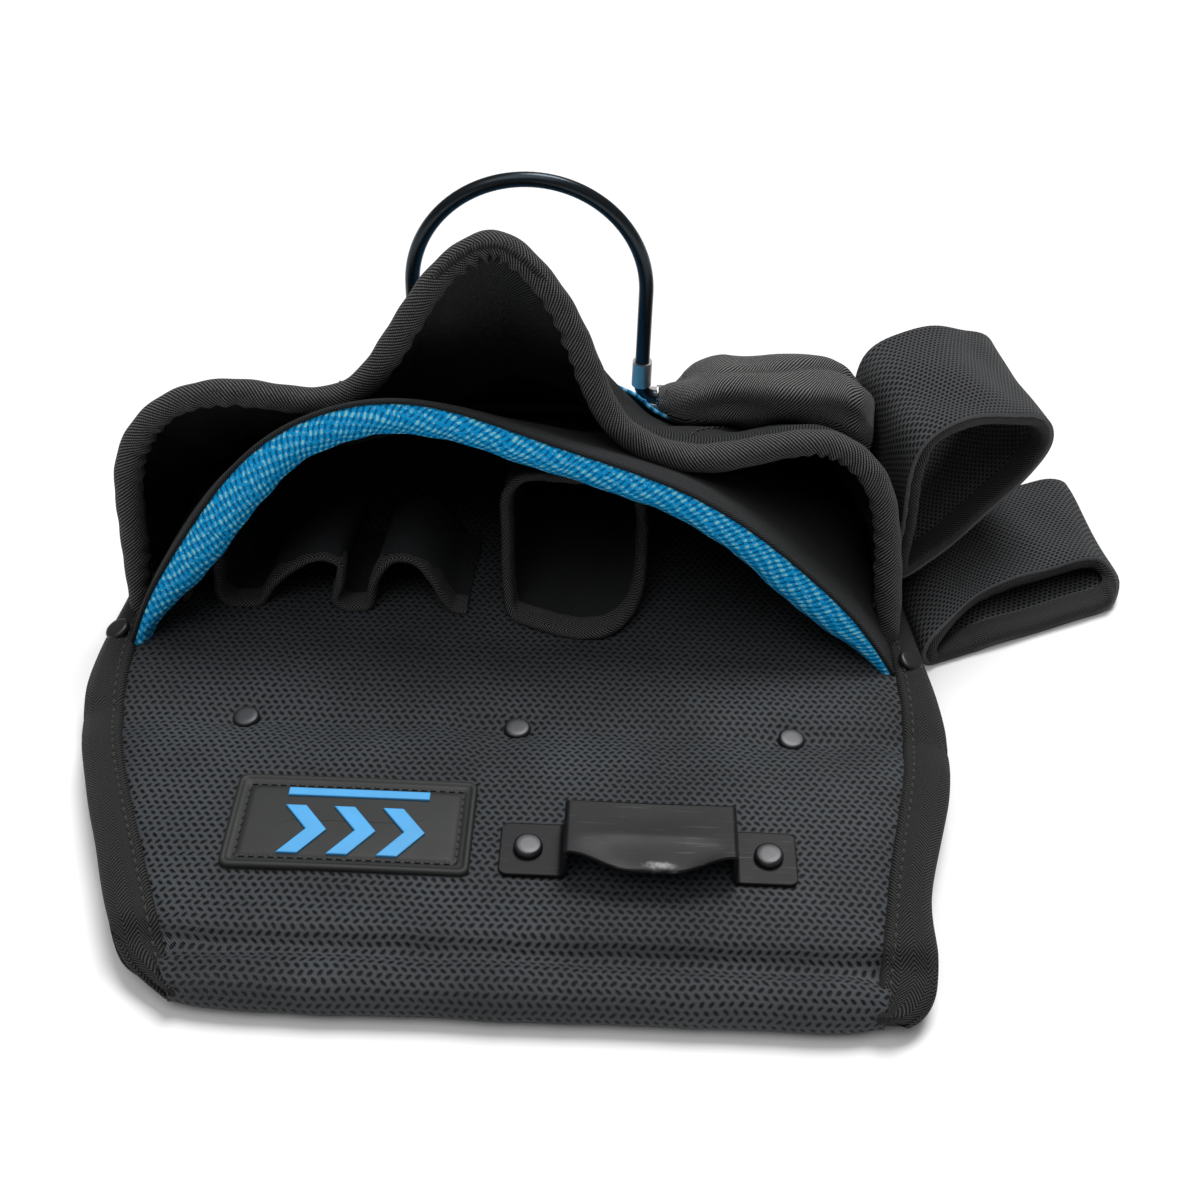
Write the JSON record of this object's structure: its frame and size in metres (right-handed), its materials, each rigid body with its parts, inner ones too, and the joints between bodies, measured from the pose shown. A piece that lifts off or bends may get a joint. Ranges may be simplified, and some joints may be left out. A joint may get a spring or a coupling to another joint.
{
  "type": "tool and fastener pouch",
  "caption": "Belt-hung fabric pouch for fasteners and tools, with a padded main pocket, outer pockets, pen and tool sleeves, a tape clip, a swinging hammer bail and side mesh loops.",
  "frame": {"origin": "on the back of the rear lining, on the line of the three rivets that close the belt tunnel, midway across the pouch", "axes": "+Z out of the pouch's front, away from the wearer; +Y from the belt tunnel to the pouch's bottom; +X to the side that carries the mesh loops"},
  "size_m": [0.339, 0.2656, 0.1444],
  "materials": {
    "ballistic_weave": "matt woven",
    "black_canvas": "matt woven",
    "foam_board": "matt",
    "twill_tape": "matt twill",
    "dark_metal": "satin black nickel",
    "badge_rubber": "matt moulded",
    "badge_blue": "matt moulded",
    "black_steel": "satin black",
    "blue_facing": "satin woven",
    "black_twill": "matt twill",
    "bright_steel": "worn",
    "blue_webbing": "matt woven",
    "black_mesh": "matt spacer mesh"
  },
  "bodies": {
    "pouch": {"back_face": "ballistic_weave", "rear_lining": "black_canvas", "stiffener_board": "foam_board", "tunnel_seam_filler": "black_canvas", "side_binding_left": "twill_tape", "side_binding_right": "twill_tape", "tunnel_rivets": "dark_metal", "tunnel_rivet_washers": "dark_metal", "corner_rivets": "dark_metal", "corner_rivet_washers": "dark_metal", "badge": "badge_rubber", "badge_motif": "badge_blue", "tape_clip": "black_steel", "tape_clip_rivets": "dark_metal", "main_pocket_wall": "black_canvas", "main_pocket_facing": "blue_facing", "front_pocket_wall": "black_canvas", "front_pocket_piping": "black_twill", "bottom_panel": "black_canvas", "pen_sleeves": "black_canvas", "pen_sleeve_binding": "twill_tape", "tool_sleeve": "black_canvas", "tool_sleeve_binding": "twill_tape", "bail_strap": "blue_webbing", "bail_bracket_left": "bright_steel", "bail_bracket_right": "bright_steel", "bail_bracket_rivets": "dark_metal", "side_pocket": "black_twill", "side_pocket_base": "black_twill", "upper_mesh_loop": "black_mesh", "upper_loop_tape": "twill_tape"},
    "bail": {"hammer_bail": "black_steel", "bail_collars": "bright_steel"},
    "lower_loop": {"lower_mesh_loop": "black_mesh", "lower_loop_tape": "twill_tape"}
  },
  "joints": [
    {"name": "bail_swing", "type": "hinge", "parent": "pouch", "child": "bail", "pos_m": [-0.001, 0.11, 0.064], "axis": [-1, 0, 0], "range_deg": [-12, 100]},
    {"name": "lower_loop_lift", "type": "hinge", "parent": "pouch", "child": "lower_loop", "pos_m": [0.1372, 0.05, 0.008], "axis": [0.1437, -0.9896, 0], "range_deg": [0, 16]}
  ]
}
